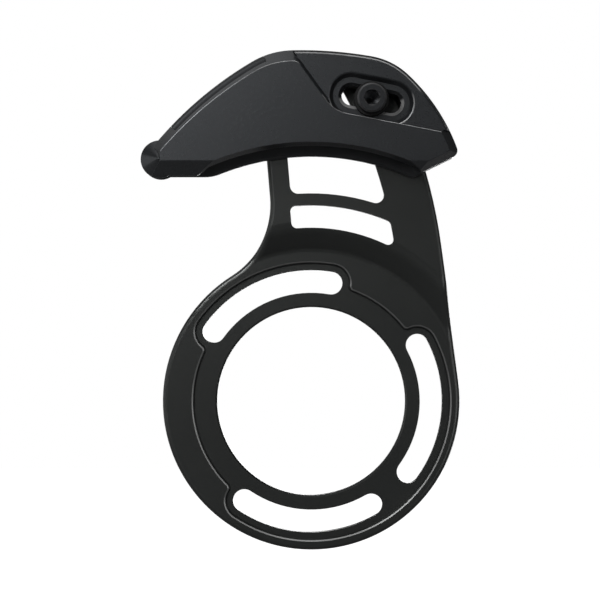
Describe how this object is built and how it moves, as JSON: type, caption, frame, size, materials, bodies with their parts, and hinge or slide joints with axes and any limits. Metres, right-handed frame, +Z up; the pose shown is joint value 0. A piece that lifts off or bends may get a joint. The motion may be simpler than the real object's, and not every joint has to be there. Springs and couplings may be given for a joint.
{
  "type": "bicycle chain guide",
  "caption": "Upper chain guide for a mid-motor bicycle: a slotted ring backplate with a joggled, windowed arm and a bevelled two-shell chain cage clamped in a slot.",
  "frame": {"origin": "centre of the motor bore on the ring's inboard mounting face", "axes": "+Z up through the chain cage, +X forward on the bicycle, +Y inboard along the crank axis"},
  "size_m": [0.0921, 0.0264, 0.144],
  "materials": {
    "plate": "black anodised, satin",
    "insert": "zinc plated",
    "inner_shell": "moulded, matte",
    "outer_shell": "moulded, matte",
    "washer": "black oxide",
    "bolt": "black oxide"
  },
  "bodies": {
    "backplate": {"backplate": "plate", "threaded_insert": "insert", "clamp_bolt": "bolt", "clamp_washer": "washer"},
    "guide": {"inner_guide": "inner_shell", "outer_guide": "outer_shell"}
  },
  "joints": [
    {"name": "guide_slide", "type": "slide", "parent": "backplate", "child": "guide", "axis": [0.9816, 0, -0.1908], "range_m": [-0.0047, 0.0047]}
  ]
}
